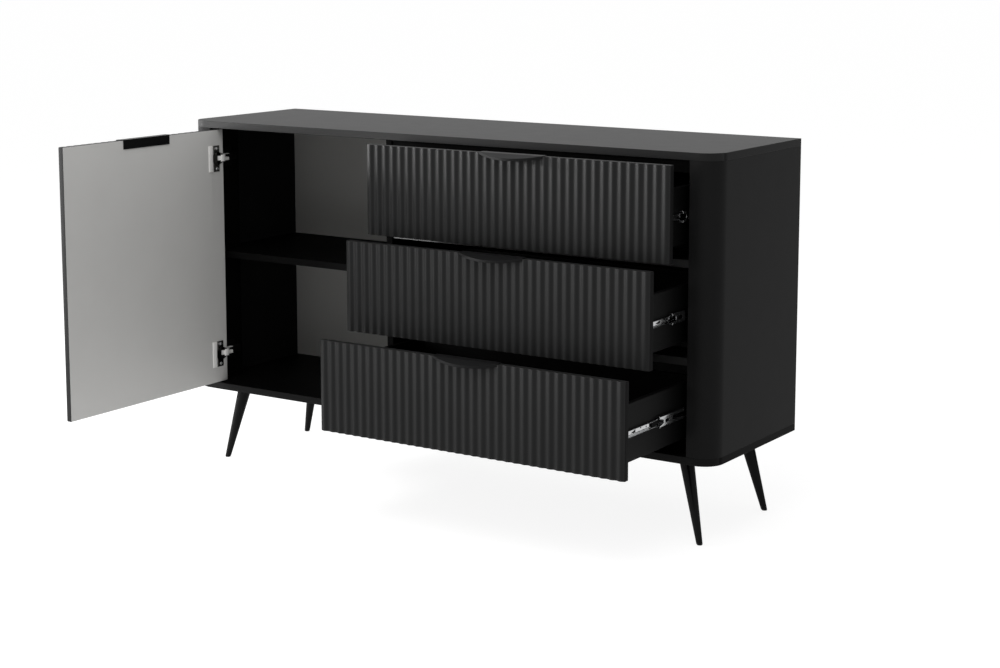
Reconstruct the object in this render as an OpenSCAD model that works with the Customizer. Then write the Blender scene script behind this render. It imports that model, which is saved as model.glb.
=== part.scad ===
// Sideboard with one hinged door and three drawers, on four splayed conical legs.
// All sizes are in millimetres. The origin is on the floor under the middle of the
// cabinet. +X is to the right, +Y to the back and +Z up, so the fronts face -Y.

/* [Cabinet] */
// Width over the two side panels
cabinet_w = 1400; // [1300:10:1600]
// Depth of the top panel
cabinet_d = 390; // [380:5:450]
// Height of the cabinet without its legs
cabinet_h = 643; // [600:1:720]
// Thickness of the carcass boards
board_t = 16; // [15:0.5:19]
// Outer radius of the rounded front corners
corner_r = 45; // [30:1:55]
// Width of the front returns of the side panels
return_w = 62; // [58:1:80]
// Thickness of the back panel
back_t = 3; // [2.5:0.5:5]
// Distance from the cabinet's rear edge to the back panel
back_inset = 19.5; // [10:0.5:30]
// Depth of the grooves that hold the thin panels
groove_d = 5; // [3:0.5:7]

/* [Fronts] */
// Thickness of the door and the drawer fronts, over the crests of the flutes
front_t = 16; // [15:0.5:18]
// Width of the door
door_w = 514; // [440:1:600]
// Gap beside the door and the drawer fronts
side_gap = 3; // [2:0.5:4]
// Gap above and below the row of fronts
end_gap = 3.5; // [3:0.5:5]
// Gap between two drawer fronts
drawer_gap = 4; // [3.5:0.5:6]
// Distance aimed for between two flutes
flute_pitch = 20.35; // [14:0.05:40]
// Depth of the flutes
flute_depth = 3; // [1:0.5:4]

/* [Interior] */
// Height of the lower cupboard, under the shelf
shelf_h = 298; // [180:1:400]
// Distance from the cabinet's front to the shelf
shelf_setback = 39; // [36:1:120]
// Distance from the cabinet's front to the rails between the drawers
rail_setback = 20; // [19:0.5:40]
// Depth of the rails between the drawers
rail_d = 100; // [60:1:160]
// Height of the rail under the top panel
top_rail_h = 28; // [20:1:34]
// Depth of the batten that carries the hinges
batten_d = 84; // [76:1:120]

/* [Drawers] */
// Length of a drawer box, behind its front
box_d = 320; // [305:1:340]
// Thickness of the sides and the back of a drawer box
box_t = 12; // [10:0.5:16]
// Height of a front below its drawer box
box_rise = 31; // [24:1:45]
// Height of a front above its drawer box
box_drop = 50; // [30:1:70]
// Thickness of a drawer's bottom panel
base_t = 3; // [2.5:0.5:5]
// Height of the box sides below the bottom panel
base_rise = 10; // [6:1:16]

/* [Runners] */
// Length of a runner, which is also the drawer's full travel
runner_l = 300; // [250:5:300]
// Width of the gap that a runner fills beside a drawer box
runner_w = 13; // [12.5:0.1:14]
// Height of the member on the cabinet
outer_h = 27; // [25:0.5:35]
// Height of the member on the drawer box
inner_h = 15; // [12:0.5:17]
// Thickness of the runner steel
steel_t = 1.2; // [1:0.1:1.5]
// Running gap between two members
member_gap = 0.4; // [0.3:0.05:0.6]
// Distance from a closed front to the members on the cabinet
runner_setback = 3; // [2:0.5:6]

/* [Legs] */
// Height of the cabinet above the floor
leg_h = 181; // [120:1:220]
// Diameter of a leg at the cabinet
leg_top_d = 32; // [24:1:40]
// Diameter of a leg at its foot
leg_foot_d = 13; // [11:0.5:20]
// Distance from the cabinet's side to the top of a leg
leg_in_side = 98; // [90:1:160]
// Distance from the cabinet's front to the top of a front leg
leg_in_front = 69; // [60:1:100]
// Distance from the cabinet's back to the top of a rear leg
leg_in_back = 54; // [50:1:100]
// Distance that a foot stands out sideways from the top of its leg
splay_side = 45; // [0:1:60]
// Distance that a foot stands out to the front or the back
splay_end = 19; // [0:1:40]
// Diameter of the plate on a leg
leg_plate_d = 60; // [54:1:80]
// Thickness of the plate on a leg
leg_plate_t = 3; // [2:0.5:5]
// Height of the glide under a leg
glide_h = 2; // [1:0.5:5]

/* [Handles] */
// Width of the flange behind the front
flange_w = 148; // [80:1:200]
// Height of the flange behind the front
flange_h = 20; // [12:1:30]
// Width of the bowed nose before the front
nose_w = 159; // [90:1:220]
// Distance that the nose stands out from the front
nose_out = 20; // [12:1:30]
// Drop of the nose over that distance
nose_drop = 8; // [2:0.5:12]
// Height of the rim along the nose
rim_h = 5; // [3:0.5:8]
// Thickness of the handle's sheet
handle_t = 1.5; // [1:0.1:2]

/* [Hinges] */
// Distance from the door's ends to the middle of a hinge
hinge_inset = 68; // [50:1:120]
// Distance from the door's edge to the hinge axis
axis_in_edge = 11.5; // [11:0.1:12]
// Depth of the hinge axis below the door's inner face
axis_depth = 5; // [4.5:0.1:5.5]
// Diameter of a hinge cup
cup_d = 35; // [35:0.5:36]
// Depth of a hinge cup
cup_depth = 11; // [10:0.5:11.5]
// Distance from the door's edge to the middle of a cup
cup_in_edge = 23; // [22.5:0.1:23.5]
// Diameter of a hinge pin
pin_d = 3; // [2.5:0.1:3.2]
// Height of a hinge arm
arm_h = 16; // [14:0.5:16.5]
// Length of a hinge arm along the batten
arm_l = 56; // [50:1:62]

/* [Positions] */
// Opening angle of the door
door_open = 90; // [0:1:95]
// Distance that the lower drawer is pulled out
lower_pull = 247; // [0:1:250]
// Distance that the middle drawer is pulled out
middle_pull = 153; // [0:1:250]
// Distance that the upper drawer is pulled out
upper_pull = 76.5; // [0:0.5:250]

/* [Hidden] */
$fn = 64;
// Clearance of a thin panel in its groove
groove_c = 0.25;
// Overlap of the cutting bodies past a face that they open
cut = 1;
// Clearance all round a loose shelf
shelf_c = 1;
// Gap between a closed front and the edges of the upright panels behind it
seal_gap = 1;

// Carcass planes
x_side = cabinet_w / 2;
y_front = -cabinet_d / 2;
y_back = cabinet_d / 2;
z_floor = leg_h + board_t;
z_ceiling = leg_h + cabinet_h - board_t;
inner_x = x_side - board_t;
opening_x = x_side - return_w;
y_panel = y_back - back_inset - back_t;
y_inner = y_front + front_t;
y_upright = y_inner + seal_gap;
inside_h = z_ceiling - z_floor;

// Row of fronts
fronts_z = z_floor + end_gap;
fronts_h = inside_h - 2 * end_gap;
door_x = -opening_x + side_gap;
bay_x = door_x + door_w + side_gap;
bay_w = opening_x - bay_x;
drawer_w = bay_w - side_gap;
drawer_h = (fronts_h - 2 * drawer_gap) / 3;
wave_steps = 8;

// Drawer boxes and runners
pulls = [lower_pull, middle_pull, upper_pull];
box_h = drawer_h - box_rise - box_drop;
box_x = bay_x + runner_w;
box_w = bay_w - 2 * runner_w;
middle_h = outer_h - 2 * (steel_t + member_gap);
rim_reach = 9.5;
middle_web = 3;
middle_reach = runner_w - steel_t - member_gap;
inner_reach = 7;
cage_w = 4.5;
cage_end = 6;

// Fasteners
dowel_r = 4;
dowel_l = 30;
dowel_c = 0.1;
dowel_in_panel = 10;
fitting_y = [-60, 70];
cam_r = 7.5;
cam_t = 12.5;
cam_z = 34;
cam_slot = 1.5;
bolt_r = 3.5;
bolt_in_panel = 11;
cam_y = [-105, 120];
screw_r = 2;
screw_c = 0.05;
plate_hole_r = 2.3;
head_r = 3.6;
head_h = 1.8;
leg_screw_l = 12;
leg_screw_ring = 22;
cup_screw_l = 9;
shelf_pin_r = 2.5;
shelf_pin_in = 8;
shelf_pin_out = 9;
shelf_pin_y = [-110, 120];

// Hinge
pivot_x = door_x + axis_in_edge;
pivot_y = y_inner - axis_depth;
hinge_z = [fronts_z + hinge_inset, fronts_z + fronts_h - hinge_inset];
cup_x = cup_in_edge - axis_in_edge;
cup_wall = 1;
cup_c = 0.1;
cup_flange_t = 1.2;
cup_flange_x = 2.5;
cup_flange_w = 37;
cup_flange_h = 62;
cup_screw_z = 24;
ear_z = 5.6;
ear_t = 1.8;
ear_w = 2.6;
ear_top = 2.2;
pin_c = 0.05;
eye_wall = 1.5;
eye_h = 10.4;
link_t = 2.5;
link_angle = 20;
link_gap = 1.5;
swing_gap = 1;
arm_t = 9;
arm_slot_w = 9;
arm_slot_d = 5;
arm_slot_margin = 9;
mount_t = 3;
mount_l = 40;
mount_h = 46;
mount_back = 6;
mount_screw_z = 17;
mount_screw_l = 12;
swing_r = sqrt(axis_in_edge * axis_in_edge + axis_depth * axis_depth);
arm_y = pivot_y + swing_r + swing_gap;
mount_y = arm_y + mount_back;

// ---- Shared shapes ----

// Cabinet outline with rounded front corners, inset all round by t and open at the back
module cabinet_outline(t = 0, back = 0) {
    r = corner_r - t;
    half = x_side - t;
    front = y_front + t;
    translate([-half, front + r])
        square([2 * half, y_back + back - front - r]);
    translate([-half + r, front])
        square([2 * half - 2 * r, r + cut]);
    for (side = [-1, 1])
        translate([side * (half - r), front + r]) circle(r = r);
}

// Box between two corners
module block(low, high) {
    translate(low) cube(high - low);
}

// Groove for the back panel, cut all round the inside of the carcass
module back_groove() {
    block([-inner_x - groove_d, y_panel - groove_c, z_floor - groove_d],
          [inner_x + groove_d, y_panel + back_t + groove_c, z_ceiling + groove_d]);
}

// The two ends of the uprights that dowels and cam fittings join to the top and the bottom
function joint_ends() = [[z_floor, 1], [z_ceiling, -1]];
function upright_x() = [-x_side + board_t / 2, bay_x - board_t / 2,
                        opening_x + board_t / 2, x_side - board_t / 2];

// One dowel or its hole across a joint, grown by c
module dowel(x, y, joint, c = 0) {
    low = joint[1] > 0 ? -dowel_in_panel : dowel_in_panel - dowel_l;
    translate([x, y, joint[0] + low - c])
        cylinder(r = dowel_r + c, h = dowel_l + 2 * c);
}

// All dowels or their holes, grown by c
module dowel_set(c = 0) {
    for (joint = joint_ends(), x = upright_x(), y = fitting_y)
        dowel(x, y, joint, c);
}

// All cam bolts or their holes, grown by c
module bolt_set(c = 0) {
    length = bolt_in_panel + cam_z - cam_r;
    for (joint = joint_ends(), x = upright_x(), y = cam_y)
        translate([x, y, joint[0] + (joint[1] > 0 ? -bolt_in_panel : bolt_in_panel - length) - c])
            cylinder(r = bolt_r + c, h = length + 2 * c);
}

// Direction that the cams of an upright face: into the cupboard or the cabinet
function cam_side(x) = x < 0 ? (x < bay_x - board_t ? 1 : -1) : (x > opening_x + board_t ? -1 : 1);

// All cams or their bores, grown by c
module cam_set(c = 0) {
    for (joint = joint_ends(), x = upright_x(), y = cam_y)
        translate([x + cam_side(x) * board_t / 2, y, joint[0] + joint[1] * cam_z])
            rotate([0, -cam_side(x) * 90, 0])
                translate([0, 0, -(c > 0 ? cut : 0)])
                    cylinder(r = cam_r + c, h = cam_t + c + (c > 0 ? cut : 0));
}

// Everything that is drilled into the uprights and the panels for their joints
module joint_holes() {
    dowel_set(dowel_c);
    bolt_set(dowel_c);
}

// Board with vertical flutes on its front face: x from 0 to w, crests at y = 0
module fluted_board(w, h) {
    flutes = round(w / flute_pitch);
    steps = flutes * wave_steps;
    wave = [for (i = [0:steps])
        [w * i / steps, flute_depth / 2 * (1 + cos(360 * i / wave_steps))]];
    linear_extrude(height = h)
        polygon(concat(wave, [[w, front_t], [0, front_t]]));
}

// Edge pull over the top edge of a front that starts at x = 0, y = 0 and ends at z = 0
module edge_pull(w) {
    radius = (nose_w * nose_w / 4 + nose_out * nose_out) / (2 * nose_out);
    slope = atan(nose_drop / nose_out);
    translate([w / 2, 0, 0]) {
        block([-nose_w / 2, 0, 0], [nose_w / 2, front_t, handle_t]);
        block([-flange_w / 2, front_t, -flange_h], [flange_w / 2, front_t + handle_t, handle_t]);
        nose_sheet(radius, 0, slope, handle_t);
        nose_sheet(radius, radius - handle_t, slope, rim_h);
    }
}

// Part of the sloping nose between two radii, t thick below its upper face
module nose_sheet(outer, inner, slope, t) {
    intersection() {
        translate([0, outer - nose_out, -3 * nose_out])
            difference() {
                cylinder(r = outer, h = 6 * nose_out, $fn = 180);
                if (inner > 0)
                    translate([0, 0, -cut]) cylinder(r = inner, h = 6 * nose_out + 2 * cut, $fn = 180);
            }
        translate([0, 0, handle_t])
            rotate([slope, 0, 0])
                block([-nose_w, -3 * nose_out, -t], [nose_w, handle_t, 0]);
        block([-nose_w, -2 * nose_out, -3 * nose_out], [nose_w, 0, nose_out]);
    }
}

// Pan-head screw with its head's underside at z = 0 and its shank along -z
module screw(l) {
    cylinder(r = head_r, h = head_h);
    translate([0, 0, -l]) cylinder(r = screw_r, h = l + cut);
}

// ---- Carcass ----

module top_panel() {
    color("#3b3c3e") difference() {
        translate([0, 0, z_ceiling]) linear_extrude(height = board_t) cabinet_outline();
        back_groove();
        joint_holes();
    }
}

module bottom_panel() {
    color("#343537") difference() {
        translate([0, 0, leg_h]) linear_extrude(height = board_t) cabinet_outline();
        back_groove();
        joint_holes();
        leg_screw_set(screw_c);
    }
}

// Side panel with the rounded corner and the front return, on the left (-1) or the right (1)
module side_panel(side) {
    color("#2c2d2f") difference() {
        translate([0, 0, z_floor]) linear_extrude(height = inside_h) intersection() {
            difference() {
                cabinet_outline();
                cabinet_outline(board_t, cut);
            }
            translate([side > 0 ? opening_x : -x_side, y_front]) square([return_w, cabinet_d]);
        }
        back_groove();
        joint_holes();
        cam_set(dowel_c);
        shelf_pin_set(screw_c);
    }
}

module left_side_panel() {
    side_panel(-1);
}

module right_side_panel() {
    side_panel(1);
}

module back_panel() {
    reach = groove_d - groove_c;
    color("#3e3e3c")
        block([-inner_x - reach, y_panel, z_floor - reach],
              [inner_x + reach, y_panel + back_t, z_ceiling + reach]);
}

module divider_panel() {
    color("#2a2b2d") difference() {
        block([bay_x - board_t, y_upright, z_floor], [bay_x, y_panel, z_ceiling]);
        joint_holes();
        cam_set(dowel_c);
        shelf_pin_set(screw_c);
    }
}

// Upright that carries the right-hand runners, in line with the front return
module runner_panel() {
    color("#2a2b2d") difference() {
        block([opening_x, y_front + board_t, z_floor], [opening_x + board_t, y_panel, z_ceiling]);
        joint_holes();
        cam_set(dowel_c);
    }
}

// Upright behind the left front return, which carries the hinges
module hinge_batten() {
    color("#222325") difference() {
        block([-opening_x - board_t, y_front + board_t, z_floor],
              [-opening_x, y_front + board_t + batten_d, z_ceiling]);
        mount_screw_set(screw_c);
    }
}

shelf_z = z_floor + shelf_h;

module shelf() {
    notch_y = y_front + board_t + batten_d + shelf_c;
    color("#2a2b2d") difference() {
        block([-inner_x + shelf_c, y_front + shelf_setback, shelf_z],
              [bay_x - board_t - shelf_c, y_panel - shelf_c, shelf_z + board_t]);
        block([-x_side, y_front, shelf_z - cut],
              [-opening_x + shelf_c, notch_y, shelf_z + board_t + cut]);
    }
}

// Shelf pins, or their holes grown by c
module shelf_pin_set(c = 0) {
    for (y = shelf_pin_y) {
        translate([-inner_x - shelf_pin_in - c, y, shelf_z - shelf_pin_r])
            rotate([0, 90, 0])
                cylinder(r = shelf_pin_r + c, h = shelf_pin_in + shelf_pin_out + c);
        translate([bay_x - board_t - shelf_pin_out, y, shelf_z - shelf_pin_r])
            rotate([0, 90, 0])
                cylinder(r = shelf_pin_r + c, h = shelf_pin_in + shelf_pin_out + c);
    }
}

module shelf_pins() {
    color("#b8b9bb") shelf_pin_set();
}

// Rail between two drawers, level with the top of the front at that level
module drawer_rail(level) {
    top = fronts_z + level * (drawer_h + drawer_gap) + drawer_h;
    color("#242527")
        block([bay_x, y_front + rail_setback, top - board_t],
              [opening_x, y_front + rail_setback + rail_d, top]);
}

module upper_rail() {
    drawer_rail(1);
}

module lower_rail() {
    drawer_rail(0);
}

module top_rail() {
    color("#242527")
        block([bay_x, y_front + rail_setback, z_ceiling - top_rail_h],
              [opening_x, y_front + rail_setback + board_t, z_ceiling]);
}

module dowels() {
    color("#c9a878") dowel_set();
}

module cam_locks() {
    color("#9a9b9d") difference() {
        cam_set();
        for (joint = joint_ends(), x = upright_x(), y = cam_y)
            translate([x + cam_side(x) * board_t / 2, y, joint[0] + joint[1] * cam_z]) {
                cube([2 * cam_slot, cam_slot, cam_r], center = true);
                cube([2 * cam_slot, cam_r, cam_slot], center = true);
            }
    }
}

module cam_bolts() {
    color("#b8b9bb") bolt_set();
}

// ---- Legs ----

function leg_top(side, end) = [side * (x_side - leg_in_side),
                               end < 0 ? y_front + leg_in_front : y_back - leg_in_back];
function leg_foot(side, end) = leg_top(side, end) + [side * splay_side, end * splay_end];

// Tapered leg on the left (-1) or the right (1), at the front (-1) or the back (1)
module leg(side, end) {
    top = leg_top(side, end);
    run = leg_foot(side, end) - top;
    length = norm([run[0], run[1], leg_h]);
    tilt = atan(norm(run) / leg_h);
    taper = (leg_top_d - leg_foot_d) / 2 / length;
    spare = leg_top_d / 2;
    reach = norm(run) + leg_top_d;
    color("#1b1b1c") translate([top[0], top[1], 0]) rotate([0, 0, atan2(run[1], run[0])]) intersection() {
        translate([0, 0, leg_h])
            rotate([0, 180 - tilt, 0])
                translate([0, 0, -spare])
                    cylinder(r1 = leg_top_d / 2 + spare * taper, r2 = leg_foot_d / 2 - spare * taper,
                             h = length + 2 * spare);
        block([-reach, -reach, glide_h], [reach, reach, leg_h - leg_plate_t]);
    }
}

module front_left_leg() {
    leg(-1, -1);
}

module front_right_leg() {
    leg(1, -1);
}

module rear_left_leg() {
    leg(-1, 1);
}

module rear_right_leg() {
    leg(1, 1);
}

module leg_plates() {
    color("#1b1b1c") difference() {
        for (side = [-1, 1], end = [-1, 1])
            translate([leg_top(side, end)[0], leg_top(side, end)[1], leg_h - leg_plate_t])
                cylinder(d = leg_plate_d, h = leg_plate_t);
        leg_screw_set(plate_hole_r - screw_r);
    }
}

// Shanks of the leg screws grown by c, or the whole screws where c is 0
module leg_screw_set(c = 0) {
    for (side = [-1, 1], end = [-1, 1], turn = [45:90:315])
        translate([leg_top(side, end)[0], leg_top(side, end)[1], leg_h - leg_plate_t])
            rotate([0, 0, turn])
                translate([leg_screw_ring, 0, 0]) {
                    if (c > 0)
                        translate([0, 0, -cut])
                            cylinder(r = screw_r + c, h = leg_plate_t + leg_screw_l + c + cut);
                    else
                        mirror([0, 0, 1]) screw(leg_plate_t + leg_screw_l);
                }
}

module leg_screws() {
    color("#8f9092") leg_screw_set();
}

module leg_glides() {
    color("#111112")
        for (side = [-1, 1], end = [-1, 1])
            translate([leg_foot(side, end)[0], leg_foot(side, end)[1], 0])
                cylinder(d = leg_foot_d - 1, h = glide_h);
}

// ---- Door and hinges ----

// Turns the closed door and what is on it to its opening angle
module on_door() {
    translate([pivot_x, pivot_y, 0])
        rotate([0, 0, -door_open])
            children();
}

// Hinge cups' bores and their screw holes, with the hinge axis as the local z axis
module cup_bores() {
    for (z = hinge_z) translate([cup_x, axis_depth, z]) rotate([90, 0, 0]) {
        translate([0, 0, -cut]) cylinder(d = cup_d, h = cup_depth + cut);
        for (side = [-1, 1])
            translate([0, side * cup_screw_z, -cut]) cylinder(r = screw_r + screw_c, h = cup_screw_l + cut);
    }
}

module door_panel() {
    color("#3a3b3d") on_door() difference() {
        translate([-axis_in_edge, axis_depth - front_t, fronts_z]) fluted_board(door_w, fronts_h);
        cup_bores();
    }
}

module door_handle() {
    color("#161617") on_door()
        translate([-axis_in_edge, axis_depth - front_t, fronts_z + fronts_h]) edge_pull(door_w);
}

// Cup with its flange, ears and pin, with the hinge axis as the local z axis
module hinge_cup(z) {
    inside_r = cup_d / 2 - cup_c - cup_wall;
    wing_z = arm_h / 2 + 0.5;
    color("#a9abad") on_door() translate([0, 0, z]) {
        translate([cup_x, axis_depth, 0]) rotate([90, 0, 0]) difference() {
            cylinder(r = cup_d / 2 - cup_c, h = cup_depth);
            translate([0, 0, -cut]) cylinder(r = inside_r, h = cup_depth - cup_wall + cut);
        }
        difference() {
            union() {
                block([cup_flange_x, axis_depth, -cup_flange_h / 2],
                      [cup_flange_x + cup_flange_w, axis_depth + cup_flange_t, cup_flange_h / 2]);
                for (side = [-1, 1])
                    translate([0, axis_depth + cup_flange_t, 0]) rotate([90, 0, 0])
                        linear_extrude(height = cup_flange_t)
                            polygon([[cup_flange_x, side * (wing_z + 6)], [cup_flange_x, side * wing_z],
                                     [2 - axis_in_edge, side * wing_z], [2 - axis_in_edge, side * (wing_z + 1)]]);
            }
            translate([cup_x, axis_depth + cup_flange_t + cut, 0]) rotate([90, 0, 0])
                cylinder(r = inside_r, h = cup_flange_t + 2 * cut);
            for (side = [-1, 1])
                translate([cup_x, axis_depth + cup_flange_t + cut, side * cup_screw_z]) rotate([90, 0, 0])
                    cylinder(r = plate_hole_r, h = cup_flange_t + 2 * cut);
        }
        for (side = [-1, 1])
            block([-ear_w, axis_depth - cup_depth + cup_wall / 2, side * (ear_z + ear_t / 2) - ear_t / 2],
                  [ear_w, ear_top, side * (ear_z + ear_t / 2) + ear_t / 2]);
        translate([0, 0, -ear_z - ear_t / 2]) cylinder(d = pin_d, h = 2 * ear_z + ear_t);
    }
}

module upper_hinge_cup() {
    hinge_cup(hinge_z[1]);
}

module lower_hinge_cup() {
    hinge_cup(hinge_z[0]);
}

module hinge_cup_screws() {
    color("#c4c5c7") on_door()
        for (z = hinge_z, side = [-1, 1])
            translate([cup_x, axis_depth + cup_flange_t, z + side * cup_screw_z])
                rotate([-90, 0, 0]) screw(cup_screw_l);
}

// Flat bar between two points of a plan, t wide, with round ends
module bar(from, to, t) {
    run = to - from;
    translate(from) rotate(atan2(run[1], run[0])) translate([0, -t / 2]) square([norm(run), t]);
    translate(from) circle(d = t);
    translate(to) circle(d = t);
}

// Arm from the hinge pin, round the door's edge and along the batten
module hinge_arm(z) {
    neck_x = axis_depth + link_gap + link_t / 2;
    neck = [neck_x, neck_x * tan(link_angle)];
    bend = [neck_x, swing_r + swing_gap + link_t / 2];
    wall_x = -opening_x - pivot_x + mount_t;
    color("#b4b6b8") translate([pivot_x, pivot_y, z]) {
        difference() {
            union() {
                translate([0, 0, -eye_h / 2]) cylinder(d = pin_d + 2 * (pin_c + eye_wall), h = eye_h);
                translate([0, 0, -eye_h / 2]) linear_extrude(height = eye_h) bar([0, 0], neck, link_t);
                translate([0, 0, -arm_h / 2]) linear_extrude(height = arm_h) {
                    bar(neck, bend, link_t);
                    bar(bend, [wall_x + link_t, bend[1]], link_t);
                }
            }
            translate([0, 0, -arm_h]) cylinder(d = pin_d + 2 * pin_c, h = 2 * arm_h);
        }
        difference() {
            block([wall_x, swing_r + swing_gap, -arm_h / 2], [wall_x + arm_t, swing_r + swing_gap + arm_l, arm_h / 2]);
            block([wall_x + arm_t - arm_slot_d, swing_r + swing_gap + arm_slot_margin, -arm_slot_w / 2],
                  [wall_x + arm_t + cut, swing_r + swing_gap + arm_l - arm_slot_margin / 3, arm_slot_w / 2]);
        }
    }
}

module upper_hinge_arm() {
    hinge_arm(hinge_z[1]);
}

module lower_hinge_arm() {
    hinge_arm(hinge_z[0]);
}

// Shanks of the mounting plates' screws grown by c, or the whole screws where c is 0
module mount_screw_set(c = 0) {
    for (z = hinge_z, side = [-1, 1])
        translate([-opening_x + mount_t, mount_y + mount_l / 2, z + side * mount_screw_z])
            rotate([0, 90, 0]) {
                if (c > 0)
                    translate([0, 0, -mount_t - mount_screw_l])
                        cylinder(r = screw_r + c, h = mount_t + mount_screw_l + cut);
                else
                    screw(mount_t + mount_screw_l);
            }
}

module hinge_mounting_plates() {
    color("#a9abad") difference() {
        for (z = hinge_z)
            block([-opening_x, mount_y, z - mount_h / 2], [-opening_x + mount_t, mount_y + mount_l, z + mount_h / 2]);
        mount_screw_set(plate_hole_r - screw_r);
    }
}

module hinge_plate_screws() {
    color("#c4c5c7") mount_screw_set();
}

// ---- Drawers, by level: 0 is the lower one, 1 the middle one and 2 the upper one ----

function front_z(level) = fronts_z + level * (drawer_h + drawer_gap);
function box_z(level) = front_z(level) + box_rise;
function base_z(level) = box_z(level) + base_rise;

// Bottom panel of a drawer, grown by c for its grooves
module drawer_base_body(level, c = 0) {
    reach = groove_d - groove_c + c;
    block([box_x + box_t - reach, y_inner - reach, base_z(level) - c],
          [box_x + box_w - box_t + reach, y_inner + box_d + c, base_z(level) + base_t + c]);
}

module drawer_front(level) {
    color("#3a3b3d") translate([0, -pulls[level], 0]) difference() {
        translate([bay_x, y_front, front_z(level)]) fluted_board(drawer_w, drawer_h);
        drawer_base_body(level, groove_c);
    }
}

// Side of a drawer box, on the left (-1) or the right (1)
module drawer_side(level, side) {
    x = side < 0 ? box_x : box_x + box_w - box_t;
    color("#1d1d1e") translate([0, -pulls[level], 0]) difference() {
        block([x, y_inner, box_z(level)], [x + box_t, y_inner + box_d, box_z(level) + box_h]);
        drawer_base_body(level, groove_c);
    }
}

module drawer_back(level) {
    color("#1d1d1e") translate([0, -pulls[level], 0])
        block([box_x + box_t, y_inner + box_d - box_t, base_z(level) + base_t],
              [box_x + box_w - box_t, y_inner + box_d, box_z(level) + box_h]);
}

module drawer_bottom(level) {
    color("#262627") translate([0, -pulls[level], 0]) drawer_base_body(level);
}

module drawer_handle(level) {
    color("#161617") translate([bay_x, y_front - pulls[level], front_z(level) + drawer_h])
        edge_pull(drawer_w);
}

// Both runner members of a level, placed with x = 0 on the cabinet's face and +x to the drawer
module runner_pair(level, y, shift) {
    translate([bay_x + bay_w / 2, y - shift, box_z(level) + box_h / 2])
        for (side = [0, 1]) mirror([side, 0, 0])
            translate([-bay_w / 2, 0, 0]) children();
}

// Channel with its web from x0 to x0 + steel_t and its flanges on to x1
module channel(x0, x1, h, l) {
    web = x0 < x1 ? x0 : x0 - steel_t;
    block([web, 0, -h / 2], [web + steel_t, l, h / 2]);
    for (side = [-1, 1])
        block([min(x0, x1), 0, side * (h / 2 - steel_t / 2) - steel_t / 2],
              [max(x0, x1), l, side * (h / 2 - steel_t / 2) + steel_t / 2]);
}

module runner_outer(level) {
    color("#8e9092") runner_pair(level, y_inner + runner_setback, 0)
        channel(0, rim_reach, outer_h, runner_l);
}

// Middle members, each with the two ball cages that it carries
module runner_middle(level) {
    cage_h = middle_h / 2 - steel_t - inner_h / 2 - member_gap;
    cage_z = inner_h / 2 + member_gap + cage_h / 2;
    color("#8e9092") runner_pair(level, y_inner + runner_setback, pulls[level] / 2) {
        channel(middle_web, middle_reach, middle_h, runner_l);
        for (side = [-1, 1])
            translate([cage_end, cage_end, side * cage_z - cage_h / 2])
                cube([cage_w, runner_l - 2 * cage_end, cage_h]);
    }
}

module runner_inner(level) {
    color("#b4b6b8") runner_pair(level, y_inner + seal_gap, pulls[level])
        channel(runner_w, runner_w - inner_reach, inner_h, runner_l);
}

top_panel();
bottom_panel();
left_side_panel();
right_side_panel();
back_panel();
divider_panel();
runner_panel();
hinge_batten();
shelf();
shelf_pins();
top_rail();
upper_rail();
lower_rail();
dowels();
cam_locks();
cam_bolts();
front_left_leg();
front_right_leg();
rear_left_leg();
rear_right_leg();
leg_plates();
leg_screws();
leg_glides();
door_panel();
door_handle();
upper_hinge_cup();
lower_hinge_cup();
hinge_cup_screws();
upper_hinge_arm();
lower_hinge_arm();
hinge_mounting_plates();
hinge_plate_screws();
drawer_front(2);  // upper_drawer_front
drawer_side(2, -1);  // upper_drawer_left_side
drawer_side(2, 1);  // upper_drawer_right_side
drawer_back(2);  // upper_drawer_back
drawer_bottom(2);  // upper_drawer_bottom
drawer_handle(2);  // upper_drawer_handle
runner_inner(2);  // upper_runner_inner
runner_middle(2);  // upper_runner_middle
runner_outer(2);  // upper_runner_outer
drawer_front(1);  // middle_drawer_front
drawer_side(1, -1);  // middle_drawer_left_side
drawer_side(1, 1);  // middle_drawer_right_side
drawer_back(1);  // middle_drawer_back
drawer_bottom(1);  // middle_drawer_bottom
drawer_handle(1);  // middle_drawer_handle
runner_inner(1);  // middle_runner_inner
runner_middle(1);  // middle_runner_middle
runner_outer(1);  // middle_runner_outer
drawer_front(0);  // lower_drawer_front
drawer_side(0, -1);  // lower_drawer_left_side
drawer_side(0, 1);  // lower_drawer_right_side
drawer_back(0);  // lower_drawer_back
drawer_bottom(0);  // lower_drawer_bottom
drawer_handle(0);  // lower_drawer_handle
runner_inner(0);  // lower_runner_inner
runner_middle(0);  // lower_runner_middle
runner_outer(0);  // lower_runner_outer
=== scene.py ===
import math

import bmesh
import bpy
from mathutils import Matrix, Vector


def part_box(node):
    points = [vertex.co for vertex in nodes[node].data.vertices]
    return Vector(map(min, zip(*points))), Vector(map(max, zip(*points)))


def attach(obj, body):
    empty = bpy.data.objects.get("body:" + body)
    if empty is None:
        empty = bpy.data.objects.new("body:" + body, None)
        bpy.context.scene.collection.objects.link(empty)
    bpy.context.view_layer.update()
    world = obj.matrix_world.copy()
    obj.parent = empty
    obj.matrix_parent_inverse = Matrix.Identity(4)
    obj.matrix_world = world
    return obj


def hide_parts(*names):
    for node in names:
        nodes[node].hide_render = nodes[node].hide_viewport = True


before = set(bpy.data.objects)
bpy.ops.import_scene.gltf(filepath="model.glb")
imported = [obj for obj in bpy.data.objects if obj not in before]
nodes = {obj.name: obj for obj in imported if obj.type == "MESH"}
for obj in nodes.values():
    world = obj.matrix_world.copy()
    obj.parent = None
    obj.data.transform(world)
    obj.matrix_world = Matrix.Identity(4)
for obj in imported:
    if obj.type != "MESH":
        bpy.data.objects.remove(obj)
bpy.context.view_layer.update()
MM = 0.001
LEVELS = ("lower", "middle", "upper")
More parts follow.
